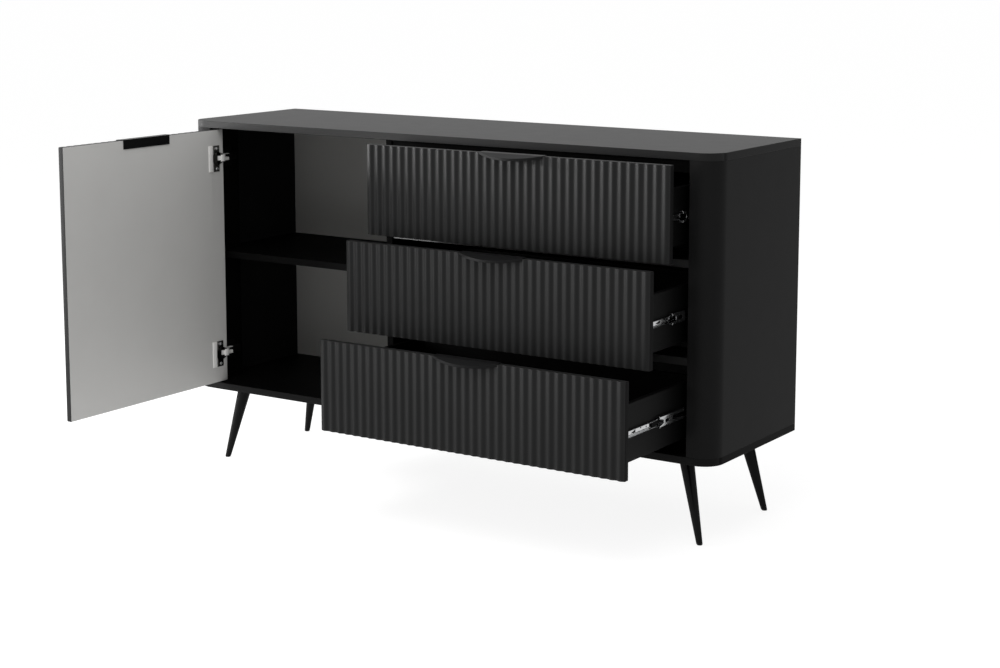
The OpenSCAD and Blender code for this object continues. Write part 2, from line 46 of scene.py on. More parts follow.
SIDES = (-1, 1)


# ---- Node helpers ----

def new_material(name):
    mat = bpy.data.materials.new(name)
    mat.use_nodes = True
    mat.node_tree.nodes.clear()
    return mat, mat.node_tree.nodes, mat.node_tree.links


def math_node(tree_nodes, links, operation, first, second=None):
    """Output of a math node whose inputs are each a socket or a number."""
    node = tree_nodes.new("ShaderNodeMath")
    node.operation = operation
    for socket, value in zip(node.inputs, (first, second)):
        if isinstance(value, bpy.types.NodeSocket):
            links.new(value, socket)
        elif value is not None:
            socket.default_value = value
    return node.outputs[0]


def axes_of(tree_nodes, links, vector):
    """X, Y and Z outputs of a vector socket."""
    node = tree_nodes.new("ShaderNodeSeparateXYZ")
    links.new(vector, node.inputs["Vector"])
    return node.outputs


def noise(tree_nodes, links, coords, stretch, scale, detail):
    """Noise texture over object coordinates, stretched along an axis where asked."""
    tex = tree_nodes.new("ShaderNodeTexNoise")
    tex.inputs["Scale"].default_value = scale
    tex.inputs["Detail"].default_value = detail
    if stretch:
        mapping = tree_nodes.new("ShaderNodeMapping")
        mapping.inputs["Scale"].default_value = stretch
        links.new(coords, mapping.inputs["Vector"])
        coords = mapping.outputs["Vector"]
    links.new(coords, tex.inputs["Vector"])
    return tex.outputs["Fac"]


def ramp(tree_nodes, links, fac, low, high, colours):
    """Colour that goes from the first to the second colour while fac goes from low to high."""
    node = tree_nodes.new("ShaderNodeValToRGB")
    for element, at, colour in zip(node.color_ramp.elements, (low, high), colours):
        element.position = at
        element.color = (*colour, 1.0)
    links.new(fac, node.inputs["Fac"])
    return node.outputs["Color"]


# ---- Materials ----

CLOUD_SCALE = 9.0
GLOSS_SCALE = 27.0
GLOSS_SPREAD = 0.015
FACES_FRONT = -0.5
# Painted shade colour for the back panel behind the drawers.
BAY_SHADE = (0.002, 0.002, 0.002)
TOP_BLACK = (0.0080, 0.0080, 0.0081)
# A lighter tone for the rails: painted light that stands in for the light between the drawers.
RAIL_LIT = (0.022, 0.022, 0.022)
# Painted shade colour for the shelf.
SHELF_SHADE = (0.0012, 0.0012, 0.0012)


def surface(name, colour, roughness, specular=0.5, metallic=0.0, mottle=0.05, grain_scale=700.0,
            grain=0.02, stretch=None):
    """Finish with a slight procedural unevenness in colour, in gloss and in its fine texture.

    mottle is the share by which the colour varies, and grain is the texture's depth in millimetres.
    """
    mat, tree_nodes, links = new_material(name)
    coords = tree_nodes.new("ShaderNodeTexCoord").outputs["Object"]
    bsdf = tree_nodes.new("ShaderNodeBsdfPrincipled")
    out = tree_nodes.new("ShaderNodeOutputMaterial")
    bsdf.inputs["Specular IOR Level"].default_value = specular
    bsdf.inputs["Metallic"].default_value = metallic
    dark = tuple(c * (1 - mottle) for c in colour)
    light = tuple(min(1.0, c * (1 + mottle)) for c in colour)
    cloud = noise(tree_nodes, links, coords, stretch, scale=CLOUD_SCALE, detail=4.0)
    tone = ramp(tree_nodes, links, cloud, low=0.3, high=0.7, colours=(dark, light))
    links.new(tone, bsdf.inputs["Base Color"])
    gloss = tree_nodes.new("ShaderNodeMapRange")
    gloss.inputs["To Min"].default_value = roughness - GLOSS_SPREAD
    gloss.inputs["To Max"].default_value = roughness + GLOSS_SPREAD
    sheen = noise(tree_nodes, links, coords, stretch, scale=GLOSS_SCALE, detail=3.0)
    links.new(sheen, gloss.inputs["Value"])
    links.new(gloss.outputs["Result"], bsdf.inputs["Roughness"])
    bump = tree_nodes.new("ShaderNodeBump")
    bump.inputs["Strength"].default_value = 1.0
    bump.inputs["Distance"].default_value = grain * MM
    texture = noise(tree_nodes, links, coords, stretch, scale=grain_scale, detail=3.0)
    links.new(texture, bump.inputs["Height"])
    links.new(bump.outputs["Normal"], bsdf.inputs["Normal"])
    links.new(bsdf.outputs["BSDF"], out.inputs["Surface"])
    return mat


def paint_bay_shade(mat, from_x, colour):
    """Paints shade: darkens the faces that look to the front beyond a given x, a painted shadow for the
    closed drawer bay.
    """
    tree_nodes, links = mat.node_tree.nodes, mat.node_tree.links
    base = next(n for n in tree_nodes if n.type == "BSDF_PRINCIPLED").inputs["Base Color"]
    place = axes_of(tree_nodes, links, tree_nodes.new("ShaderNodeTexCoord").outputs["Object"])
    normal = axes_of(tree_nodes, links, tree_nodes.new("ShaderNodeNewGeometry").outputs["Normal"])
    beyond = math_node(tree_nodes, links, "GREATER_THAN", place["X"], from_x)
    inner = math_node(tree_nodes, links, "LESS_THAN", normal["Y"], FACES_FRONT)
    mix = tree_nodes.new("ShaderNodeMixRGB")
    mix.inputs["Color2"].default_value = (*colour, 1.0)
    links.new(math_node(tree_nodes, links, "MULTIPLY", beyond, inner), mix.inputs["Fac"])
    links.new(base.links[0].from_socket, mix.inputs["Color1"])
    links.new(mix.outputs["Color"], base)


charcoal = surface("charcoal_board", (0.0060, 0.0060, 0.0061), 0.62, specular=0.085)
charcoal_top = surface("charcoal_top_board", TOP_BLACK, 0.40, specular=0.04)
# The front-face copies of the top, rail, shelf and bottom finishes are glossier than their boards: a
# painted highlight on the front edges.
charcoal_top_lit_front = surface("charcoal_top_lit_front", TOP_BLACK, 0.40, specular=0.13)
charcoal_front = surface("charcoal_fluted", (0.0125, 0.0126, 0.0127), 0.45, specular=0.09)
charcoal_edge = surface("charcoal_edge", (0.0088, 0.0088, 0.0090), 0.50, specular=0.02)
door_edge = surface("charcoal_door_edge", (0.020, 0.020, 0.0202), 0.45, specular=0.08)
# Painted shade: a near-black copy of the charcoal board for the divider, runner panel, hinge batten and
# top rail.
charcoal_shaded_inner = surface("charcoal_shaded_inner", (0.0015, 0.0015, 0.0015), 0.55, specular=0.02)
# Painted light: lighter, glossier copies of the charcoal board for the rails, glossier still on their
# front faces.
charcoal_rail_lit = surface("charcoal_rail_lit", RAIL_LIT, 0.28, specular=0.25)
charcoal_rail_lit_front = surface("charcoal_rail_lit_front", RAIL_LIT, 0.28, specular=0.6)
# Painted shade: a near-black copy of the charcoal board for the shelf; its front faces get a glossier
# copy.
shelf_shaded = surface("charcoal_shelf_shaded", SHELF_SHADE, 0.55, specular=0.015)
shelf_lit_front = surface("charcoal_shelf_lit_front", SHELF_SHADE, 0.55, specular=0.075)
# Painted shade: a darker copy of the charcoal board for the bottom panel, with a less darkened, glossier
# one for its front faces.
charcoal_bottom_shaded = surface("charcoal_shaded_bottom_board", (0.0022, 0.0022, 0.0022), 0.45, specular=0.02)
charcoal_bottom_lit_front = surface("charcoal_bottom_lit_front", (0.0050, 0.0050, 0.0050), 0.45, specular=0.06)
back_board = surface("grey_back_board", (0.40, 0.396, 0.382), 0.60, specular=0.2, mottle=0.012,
                     grain_scale=500.0)
# Painted shade: the back panel's front-facing faces behind the drawers get a near-black colour.
paint_bay_shade(back_board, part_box("divider_panel")[0].x, BAY_SHADE)
door_inner = surface("pale_grey_laminate", (0.60, 0.595, 0.58), 0.50, specular=0.25, mottle=0.015,
                     grain_scale=900.0, grain=0.008)
box_board = surface("black_drawer_board", (0.0016, 0.0016, 0.0016), 0.5, specular=0.05)
leg_wood = surface("black_leg_wood", (0.0105, 0.0105, 0.0106), 0.48, specular=0.04,
                   grain_scale=500.0, stretch=(1.0, 1.0, 0.12))
black_steel = surface("black_steel", (0.0080, 0.0080, 0.0083), 0.35, specular=0.3)
handle_metal = surface("black_coated_metal", (0.0050, 0.0050, 0.0052), 0.36, specular=0.085,
                       grain_scale=1500.0, grain=0.005)
black_cap = surface("matt_black_cap", (0.0030, 0.0030, 0.0030), 0.6, specular=0.03)
black_plastic = surface("black_plastic", (0.0090, 0.0090, 0.0092), 0.45, specular=0.4)
zinc = surface("bright_zinc", (0.50, 0.505, 0.51), 0.14, metallic=1.0, grain_scale=1200.0, grain=0.003)
nickel = surface("bright_nickel", (0.17, 0.168, 0.162), 0.13, metallic=1.0, grain_scale=1500.0,
                 grain=0.003)
satin_nickel = surface("satin_nickel", (0.84, 0.83, 0.81), 0.38, grain_scale=1500.0, grain=0.003)
blackened_zinc = surface("blackened_zinc", (0.012, 0.012, 0.012), 0.42, specular=0.05)
screw_steel = surface("screw_steel", (0.55, 0.55, 0.56), 0.30, metallic=1.0, grain=0.004)
beech = surface("beech", (0.52, 0.36, 0.21), 0.6, specular=0.3, mottle=0.12, stretch=(1.0, 1.0, 0.1))


# ---- Meshes ----

ROUND_STEPS = 24
SLOT_STEPS = 8


def new_object(name, bm, mats=()):
    """Turns a bmesh into an object, with its faces turned outwards."""
    bmesh.ops.recalc_face_normals(bm, faces=bm.faces[:])
    mesh = bpy.data.meshes.new(name)
    bm.to_mesh(mesh)
    bm.free()
    for mat in mats:
        mesh.materials.append(mat)
    obj = bpy.data.objects.new(name, mesh)
    bpy.context.scene.collection.objects.link(obj)
    return obj


def add_piece(name, bm, body, mats, stands_for, smooth_angle=35.0):
    """Makes a named piece that rides on a body and stands for a CAD node, with sharp edges kept sharp."""
    obj = new_object(name, bm, mats)
    mesh = obj.data
    mesh.polygons.foreach_set("use_smooth", [True] * len(mesh.polygons))
    mesh.set_sharp_from_angle(angle=math.radians(smooth_angle))
    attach(obj, body)
    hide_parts(stands_for)
    return obj


def carve(obj, cutter_bm, crossing=False):
    """Cuts a bmesh's closed shapes out of an object; crossing says that the object's shapes cross."""
    cutter = new_object("cutter", cutter_bm)
    cut = obj.modifiers.new("cut", "BOOLEAN")
    cut.operation = "DIFFERENCE"
    cut.solver = "EXACT"
    cut.use_self = crossing
    cut.object = cutter
    depsgraph = bpy.context.evaluated_depsgraph_get()
    done = bpy.data.meshes.new_from_object(obj.evaluated_get(depsgraph), depsgraph=depsgraph)
    obj.modifiers.remove(cut)
    obj.data = done
    bpy.data.objects.remove(cutter)


def loft(bm, rings):
    """Closed skin through rings of points, with a cap at both ends."""
    loops = [[bm.verts.new(p) for p in ring] for ring in rings]
    count = len(loops[0])
    for a, b in zip(loops, loops[1:]):
        for i in range(count):
            j = (i + 1) % count
            bm.faces.new((a[i], a[j], b[j], b[i]))
    bm.faces.new(loops[0][::-1])
    bm.faces.new(loops[-1])


def prism(bm, ring, low, high, place):
    """Closed prism: a ring of points in a plane, from low to high along the third direction."""
    loft(bm, [[place(p[0], p[1], d) for p in ring] for d in (low, high)])


def lathe(bm, profile, place, steps=ROUND_STEPS):
    """Solid of revolution: profile points (radius, height), closed by a point or a cap at each end."""
    turns = [2 * math.pi * i / steps for i in range(steps)]
    rings = []
    for r, h in profile:
        around = turns if r > 0 else [0.0]
        rings.append([bm.verts.new(place(r * math.cos(t), r * math.sin(t), h)) for t in around])
    for a, b in zip(rings, rings[1:]):
        for i in range(steps):
            j = (i + 1) % steps
            if len(a) == 1:
                bm.faces.new((a[0], b[i], b[j]))
            elif len(b) == 1:
                bm.faces.new((a[i], a[j], b[0]))
            else:
                bm.faces.new((a[i], a[j], b[j], b[i]))
    for ring in (rings[0], rings[-1]):
        if len(ring) > 1:
            bm.faces.new(ring)


def bush(bm, section, place):
    """Round sleeve: a closed section of points (radius, height) turned once round its axis."""
    turns = [2 * math.pi * i / ROUND_STEPS for i in range(ROUND_STEPS)]
    loops = [[bm.verts.new(place(r * math.cos(t), r * math.sin(t), h)) for r, h in section]
             for t in turns]
    count = len(section)
    for a, b in zip(loops, loops[1:] + loops[:1]):
        for i in range(count):
            j = (i + 1) % count
            bm.faces.new((a[i], a[j], b[j], b[i]))


# ---- Outlines in a plane ----

def arc(cx, cy, r, start, end, steps):
    """Points of an arc, from one angle to another in degrees."""
    turns = [math.radians(start + (end - start) * i / steps) for i in range(steps + 1)]
    return [(cx + r * math.cos(t), cy + r * math.sin(t)) for t in turns]


def disc(cx, cy, r):
    return arc(cx, cy, r, 0, 360, ROUND_STEPS)[:-1]


def slot_ring(cx, cy, length, width):
    """Long hole with round ends, along the first direction of its plane."""
    r, half = width / 2, length / 2 - width / 2
    return arc(cx + half, cy, r, -90, 90, SLOT_STEPS) + arc(cx - half, cy, r, 90, 270, SLOT_STEPS)


def mirrored(line):
    """A line of points, then its mirror image beyond the first direction's axis, back from its end."""
    return line + [(a, -b) for a, b in reversed(line)]


def strip_profile(path, t):
    """Closed ring of a sheet t thick along a path of points."""
    left, right = [], []
    for i, p in enumerate(path):
        a, b = path[max(i - 1, 0)], path[min(i + 1, len(path) - 1)]
        run = Vector((b[0] - a[0], b[1] - a[1])).normalized()
        left.append((p[0] - run.y * t / 2, p[1] + run.x * t / 2))
        right.append((p[0] + run.y * t / 2, p[1] - run.x * t / 2))
    return left + right[::-1]


def facing(origin, out, up):
    """Function that turns (a, b, h) in millimetres to the frame, with h along out and b along up."""
    origin, out, up = Vector(origin), Vector(out), Vector(up)
    side = up.cross(out)
    return lambda a, b, h: tuple(origin + (side * a + up * b + out * h) * MM)


# ---- Boards, legs and small fittings that keep their CAD shape ----

JOIN_DISTANCE = 1e-6
SHARP_ANGLE = 30
FLAT_ANGLE = 0.5
BEVEL_ANGLE = 40
BEVEL_SEGMENTS = 2
BOARD_BEVEL = 0.6 * MM
FITTING_BEVEL = 0.25 * MM
BAND_RISE = 0.5
BAND_SLANT = 0.975


def new_group(name):
    """Geometry node group with only its input and its output."""
    group = bpy.data.node_groups.new(name, "GeometryNodeTree")
    for way in ("INPUT", "OUTPUT"):
        group.interface.new_socket("Geometry", in_out=way, socket_type="NodeSocketGeometry")
    return group, group.nodes.new("NodeGroupInput"), group.nodes.new("NodeGroupOutput")


def compare(group, operation, value, limit, spread=0.0):
    """Compares a socket with a limit; for EQUAL, spread is how far they may be apart."""
    node = group.nodes.new("FunctionNodeCompare")
    node.data_type = "FLOAT"
    node.operation = operation
    node.inputs["B"].default_value = limit
    if spread:
        node.inputs["Epsilon"].default_value = spread
    group.links.new(value, node.inputs["A"])
    return node.outputs["Result"]


def shading_group():
    """Node group that joins a CAD mesh's split vertices and shades it smooth, except at sharp edges."""
    group, start, end = new_group("joined_shading")
    merge = group.nodes.new("GeometryNodeMergeByDistance")
    merge.inputs["Distance"].default_value = JOIN_DISTANCE
    drop = group.nodes.new("GeometryNodeRemoveAttribute")
    drop.inputs["Name"].default_value = "custom_normal"
    faces = group.nodes.new("GeometryNodeSetShadeSmooth")
    edges = group.nodes.new("GeometryNodeSetShadeSmooth")
    edges.domain = "EDGE"
    edges.inputs["Shade Smooth"].default_value = False
    angle = group.nodes.new("GeometryNodeInputMeshEdgeAngle").outputs["Unsigned Angle"]
    sharp = compare(group, "GREATER_THAN", angle, math.radians(SHARP_ANGLE))
    group.links.new(sharp, edges.inputs["Selection"])
    chain = (start, merge, drop, faces, edges, end)
    for a, b in zip(chain, chain[1:]):
        group.links.new(a.outputs[0], b.inputs[0])
    return group


def lit_front_group(mat):
    """Node group that gives a board's front edge and round corners a glossier copy of its finish: a
    painted highlight.

    It takes the faces whose normal is near level (z) and doesn't look straight to a side (x).
    """
    group, start, end = new_group("lit_front_faces")
    normal = group.nodes.new("GeometryNodeInputNormal").outputs["Normal"]
    sides = axes_of(group.nodes, group.links, normal)
    slant = math_node(group.nodes, group.links, "ABSOLUTE", sides["X"])
    both = group.nodes.new("FunctionNodeBooleanMath")
    both.operation = "AND"
    group.links.new(compare(group, "EQUAL", sides["Z"], 0.0, BAND_RISE), both.inputs[0])
    group.links.new(compare(group, "LESS_THAN", slant, BAND_SLANT), both.inputs[1])
    paint = group.nodes.new("GeometryNodeSetMaterial")
    paint.inputs["Material"].default_value = mat
    group.links.new(both.outputs[0], paint.inputs["Selection"])
    group.links.new(start.outputs[0], paint.inputs["Geometry"])
    group.links.new(paint.outputs["Geometry"], end.inputs[0])
    return group


JOINED = shading_group()


def dress(node, mat, bevel, lit_front=None):
    """Gives a CAD node its finish, softens its edges and, where asked, gives its front edge a glossier
    copy of the finish as a painted highlight.
    """
    obj = nodes[node]
    obj.data.materials.clear()
    obj.data.materials.append(mat)
    obj.modifiers.new("shading", "NODES").node_group = JOINED
    flat = obj.modifiers.new("flat", "DECIMATE")
    flat.decimate_type = "DISSOLVE"
    flat.angle_limit = math.radians(FLAT_ANGLE)
    edge = obj.modifiers.new("edges", "BEVEL")
    edge.width = bevel
    edge.segments = BEVEL_SEGMENTS
    edge.limit_method = "ANGLE"
    edge.angle_limit = math.radians(BEVEL_ANGLE)
    edge.harden_normals = True
    edge.use_clamp_overlap = False
    if lit_front:
        obj.data.materials.append(lit_front)
        obj.modifiers.new("lit_front", "NODES").node_group = lit_front_group(lit_front)


BOARDS = {
    charcoal_top: ("top_panel",),
    charcoal_bottom_shaded: ("bottom_panel",),
    charcoal: ("left_side_panel", "right_side_panel"),
    charcoal_rail_lit: ("upper_rail", "lower_rail"),
    charcoal_shaded_inner: ("divider_panel", "runner_panel", "hinge_batten", "top_rail"),
    shelf_shaded: ("shelf",),
    back_board: ("back_panel",),
    black_steel: ("leg_plates",),
    leg_wood: ("front_left_leg", "front_right_leg", "rear_left_leg", "rear_right_leg"),
    black_plastic: ("leg_glides",),
    box_board: tuple(f"{level}_drawer_{part}" for level in LEVELS
                     for part in ("left_side", "right_side", "back", "bottom")),
}
FITTINGS = {
    blackened_zinc: ("cam_locks",),
    zinc: ("cam_bolts", "shelf_pins"),
    beech: ("dowels",),
    black_cap: ("hinge_mounting_plates",),
    handle_metal: ("door_handle",) + tuple(f"{level}_drawer_handle" for level in LEVELS),
}
# Glossier copies that paint a highlight onto the boards' front edges, where the light falls.
LIT_FRONTS = {
    charcoal_top: charcoal_top_lit_front,
    charcoal_bottom_shaded: charcoal_bottom_lit_front,
    charcoal_rail_lit: charcoal_rail_lit_front,
    shelf_shaded: shelf_lit_front,
}
for table, bevel in ((BOARDS, BOARD_BEVEL), (FITTINGS, FITTING_BEVEL)):
    for mat, names in table.items():
        for name in names:
            dress(name, mat, bevel, LIT_FRONTS.get(mat))


# ---- Fluted fronts ----

FLUTE_DEPTH = 3 * MM
FLUTE_PITCH = 20.35 * MM
FLUTE_STEPS = 24
FRONT_T = 16 * MM
SOFT = 0.9 * MM
SOFT_STEPS = 4
BACK_STEPS = 2
END_ZONE = 0.6 * SOFT


def board_section(front, back, low, high):
    """Section across a board: y from front to back and z from low to high, with rounded edges."""
    r = SOFT
    front_edges = (arc(front + r, low + r, r, -90, -180, SOFT_STEPS)
                   + arc(front + r, high - r, r, 180, 90, SOFT_STEPS))
    back_edges = (arc(back - r, high - r, r, 90, 0, BACK_STEPS)
                  + arc(back - r, low + r, r, 0, -90, BACK_STEPS))
    return front_edges + back_edges


def fluted_board(bm, w, h, place):
    """Board from x = 0 to w and z = 0 to h, with its crests at y = 0; place turns (x, y, z) to the frame.

    Near both ends the sections shrink by an inset, which rounds the ends.
    """
    flutes = round(w / FLUTE_PITCH)
    turns = [math.pi / 2 * k / SOFT_STEPS for k in range(SOFT_STEPS)]
    rounded = [(SOFT * (1 - math.cos(a)), FLUTE_DEPTH, SOFT * (1 - math.sin(a))) for a in turns]
    across = [w * i / (flutes * FLUTE_STEPS) for i in range(flutes * FLUTE_STEPS + 1)]
    rows = rounded + [(x, FLUTE_DEPTH / 2 * (1 + math.cos(2 * math.pi * flutes * x / w)), 0.0)
                      for x in across if SOFT < x < w - SOFT]
    rows += [(w - x, y, inset) for x, y, inset in reversed(rounded)]
    loft(bm, [[place(x, *p) for p in board_section(y + inset, FRONT_T - inset, inset, h - inset)]
              for x, y, inset in rows])


def mark_ends(bm, axis, low, high, index):
    """Gives the faces at both ends of a board another material."""
    for face in bm.faces:
        mid = face.calc_center_median()[axis]
        if mid < low + END_ZONE or mid > high - END_ZONE:
            face.material_index = index


def drawer_front(level):
    """Fluted front of a drawer, whose flutes look to the front."""
    low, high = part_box(f"{level}_drawer_front")
    bm = bmesh.new()
    fluted_board(bm, high.x - low.x, high.z - low.z, lambda x, y, z: (low.x + x, low.y + y, low.z + z))
    mark_ends(bm, 0, low.x, high.x, 1)
    add_piece(f"{level}_drawer_front_fluted", bm, f"{level}_drawer", [charcoal_front, charcoal_edge],
              f"{level}_drawer_front")


def fluted_door():
    """The open door, whose flutes look to -x and whose inner face is pale."""
    low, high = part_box("door_panel")
    bm = bmesh.new()
    fluted_board(bm, high.y - low.y, high.z - low.z, lambda x, y, z: (low.x + y, high.y - x, low.z + z))
    for face in bm.faces:
        inner = min(v.co.x for v in face.verts) > high.x - SOFT / 2
        face.material_index = 1 if inner else 0
    mark_ends(bm, 1, low.y, high.y, 2)
    return add_piece("door_panel_fluted", bm, "door", [charcoal_front, door_inner, door_edge],
                     "door_panel")


for level in LEVELS:
    drawer_front(level)
door = fluted_door()


# ---- Screws ----
# Here and in the next two sections, shapes are in millimetres and place functions turn them to the frame.

HEAD_R = 3.6
HEAD_H = 1.8
HEAD_EDGE = 0.2
CROWN_SHARE = 0.65
SHANK_R = 2.0
SHANK = 10.0
THREADS = 7
THREAD_START = 0.12 * SHANK
THREAD_PITCH = 0.1 * SHANK
THREAD_ROOT_R = 0.78 * SHANK_R
TIP_R = 0.75 * SHANK_R
TIP_START = 0.88 * SHANK
CROSS_ARM = 1.9
CROSS_WEB = 0.42
CROSS_LEVELS = ((0.25 * HEAD_H, 0.7), (1.3 * HEAD_H, 1.15))


def screw_outline():
    """Half section of a pan-head screw as (radius, height); the underside of its head is at height 0."""
    crown = [math.radians(a) for a in range(15, 91, 15)]
    outline = [(0.0, HEAD_H)]
    outline += [(HEAD_R * math.sin(a), HEAD_H * (1 - CROWN_SHARE * (1 - math.cos(a)))) for a in crown]
    outline += [(HEAD_R, 0.12 * HEAD_H), (HEAD_R - HEAD_EDGE, 0.0)]
    outline += [(SHANK_R, 0.0), (SHANK_R, -THREAD_PITCH)]
    for turn in range(THREADS):
        h = -THREAD_START - THREAD_PITCH * turn
        outline += [(THREAD_ROOT_R, h), (SHANK_R, h - THREAD_PITCH / 2)]
    return outline + [(TIP_R, -TIP_START), (0.0, -SHANK)]


def screw_template():
    """Mesh of a screw with a cross recess, along z."""
    place = facing((0, 0, 0), (0, 0, 1), (0, 1, 0))
    bm, cuts = bmesh.new(), bmesh.new()
    lathe(bm, screw_outline(), place)
    corner = [(-CROSS_WEB, -CROSS_ARM), (CROSS_WEB, -CROSS_ARM), (CROSS_WEB, -CROSS_WEB)]
    cross = []
    for quarter in range(4):
        cross += corner
        corner = [(-y, x) for x, y in corner]
    loft(cuts, [[place(x * k, y * k, h) for x, y in cross] for h, k in CROSS_LEVELS])
    obj = new_object("screw_template", bm)
    carve(obj, cuts)
    mesh = obj.data
    bpy.data.objects.remove(obj)
    return mesh


SCREW = screw_template()


def islands(node):
    """Lowest and highest corners of the loose parts of a CAD node, in a fixed order."""
    bm = bmesh.new()
    bm.from_mesh(nodes[node].data)
    bmesh.ops.remove_doubles(bm, verts=bm.verts[:], dist=JOIN_DISTANCE)
    left, found = set(bm.verts), []
    while left:
        stack, part = [left.pop()], []
        while stack:
            vert = stack.pop()
            part.append(vert.co.copy())
            for edge in vert.link_edges:
                other = edge.other_vert(vert)
                if other in left:
                    left.remove(other)
                    stack.append(other)
        low = Vector([min(p[k] for p in part) for k in range(3)])
        high = Vector([max(p[k] for p in part) for k in range(3)])
        found.append((low, high))
    bm.free()
    return sorted(found, key=lambda corners: tuple(round(c, 5) for c in corners[0]))


def screws(name, node, body, out, up, mat):
    """Cross-recess screws in the places of a CAD node's screws, whose heads face out."""
    bm = bmesh.new()
    out, up = Vector(out), Vector(up)
    axis = max(range(3), key=lambda k: abs(out[k]))
    turn = Matrix((up.cross(out), up, out)).transposed().to_4x4()
    for low, high in islands(node):
        seat = (low + high) / 2
        seat[axis] = (high if out[axis] > 0 else low)[axis] - out[axis] * HEAD_H * MM
        length = high[axis] - low[axis] - HEAD_H * MM
        first = len(bm.verts)
        bm.from_mesh(SCREW)
        bm.verts.ensure_lookup_table()
        fresh = bm.verts[first:]
        for v in fresh:
            if v.co.z < 0:
                v.co.z *= length / (SHANK * MM)
        bmesh.ops.transform(bm, matrix=Matrix.Translation(seat) @ turn, verts=fresh)
    add_piece(name, bm, body, [mat], node)


screws("hinge_cup_screws_cross", "hinge_cup_screws", "door", (1, 0, 0), (0, 0, 1), screw_steel)
screws("hinge_plate_screws_cross", "hinge_plate_screws", "cabinet", (1, 0, 0), (0, 0, 1), black_cap)
screws("leg_screws_cross", "leg_screws", "cabinet", (0, 0, -1), (0, 1, 0), screw_steel)


# ---- Runners ----
# y runs along a runner from its front, w is up from its middle, and u runs across it, from the cabinet's
# face to the drawer.

STEEL = 1.2
CORNER_STEPS = 5
RUNNER_L = 300
RUNNER_ENDS = ((0, 0.55), (0.35, 1.0), (RUNNER_L - 0.35, 1.0), (RUNNER_L, 0.55))
INNER = {"web": 12.4, "tip": 6.6, "half": 7.5, "corner": 1.6, "lip": 0.9}
MIDDLE = {"web": 3.6, "tip": 10.9, "half": 11.9, "corner": 2.2, "lip": 0.8}
OUTER = {"web": 0.6, "tip": 9.0, "half": 13.5, "corner": 2.4, "lip": 0.8}
INNER_CUT = (10.5, 14.5)
MIDDLE_CUT = (2.0, 5.4)
OUTER_CUT = (-1.0, 2.4)
INNER_HOLES = (
    [(9 + y, w) for w, y in slot_ring(0, 0, 6.4, 2.6)],
    [(22, -1.2), (34, -2.9), (41, -2.9), (41, 3.4)],
    slot_ring(54, -3.9, 12, 1.5),
    slot_ring(72, -3.9, 12, 1.5),
    slot_ring(62, 2.2, 5, 2.4),
    disc(84, 0, 2.1),
    slot_ring(170, 0, 9, 4.4),
    disc(196, 0, 2.1),
    slot_ring(232, 0, 9, 4.4),
    disc(256, 0, 2.1),
)
MIDDLE_HOLES = (
    slot_ring(31, 0, 18, 7.5),
    slot_ring(87, 0, 72, 9.5),
    slot_ring(150, 0, 16, 6),
    slot_ring(262, 0, 16, 6),
    mirrored([(-1, -7.2), (4, -7.2), (15, -3.4)]),
)
SCREW_PLACES = (34, 160, 262)
OUTER_HOLES = tuple(disc(y, 0, 2.3) for y in SCREW_PLACES)
OUTER_HOLES += tuple(slot_ring(y, 0, 11, 4.4) for y in (60, 128, 206))
LEVER = [(101, -4.6), (104, -5.8), (121, -5.8), (126, -1.5), (140, -0.9), (141.5, 0.6), (140, 2.0),
         (126, 1.9), (120, 5.8), (104, 5.8), (101, 4.6)]
LEVER_MIDDLE = 110.5
LEVER_INNER = [(LEVER_MIDDLE + (y - LEVER_MIDDLE) * 0.97, w * 0.94) for y, w in LEVER]
LEVER_LEVELS = ((LEVER, 11.75), (LEVER, 8.9), (LEVER_INNER, 8.4))
CAGE = [(7.1, 8.0), (10.3, 8.0), (10.3, 10.5), (9.7, 10.5), (9.7, 8.5), (7.1, 8.5)]
CAGE_SPAN = (6, RUNNER_L - 6)
BALL_R = 1.15
BALL_U = 8.4
BALL_W = 9.35
BALL_PITCH = 6.2
BALL_PLACES = tuple(start + k * BALL_PITCH for start in (14, 250) for k in range(6))
ROUND_HEAD = [(0.0, 1.3), (1.6, 1.2), (2.8, 0.8), (3.4, 0.1), (3.4, 0.0), (0.0, 0.0)]
STOP = [(290, -10), (297, -10), (297, 10), (290, 10)]
STOP_LEVELS = (1.25, 2.9)

bay_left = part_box("upper_runner_outer")[0].x
bay_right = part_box("upper_runner_outer")[1].x


def channel_path(web, tip, half, corner, lip):
    """Centre line of a channel whose web is at u = web and whose flanges end in lips at u = tip."""
    way = 1 if tip > web else -1
    edge = half - STEEL / 2
    middle = web + way * corner
    line = [(tip, edge - lip), (tip - way * lip * 0.4, edge - lip * 0.35), (tip - way * lip * 1.2, edge)]
    line += [(middle + way * corner * 0.6, edge)]
    line += arc(middle, edge - corner, corner, 90, 90 + way * 90, CORNER_STEPS)
    return mirrored(line)


def runner_place(level, member, side):
    """Turns (y, w, u) to the frame, for a member of the runner on one side of a drawer."""
    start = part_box(f"{level}_runner_{member}")[0].y
    low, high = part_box(f"{level}_runner_inner")
    middle = (low.z + high.z) / 2
    face = bay_left if side < 0 else bay_right
    return lambda y, w, u: (face - side * u * MM, start + y * MM, middle + w * MM)


def pressed_channel(bm, shape, place):
    """Channel along y, whose sheet gets thinner at its very ends."""
    path = channel_path(**shape)
    loft(bm, [[place(y, w, u) for u, w in strip_profile(path, STEEL * share)]
              for y, share in RUNNER_ENDS])


def punch(cuts, holes, span, place):
    for ring in holes:
        prism(cuts, ring, *span, place)


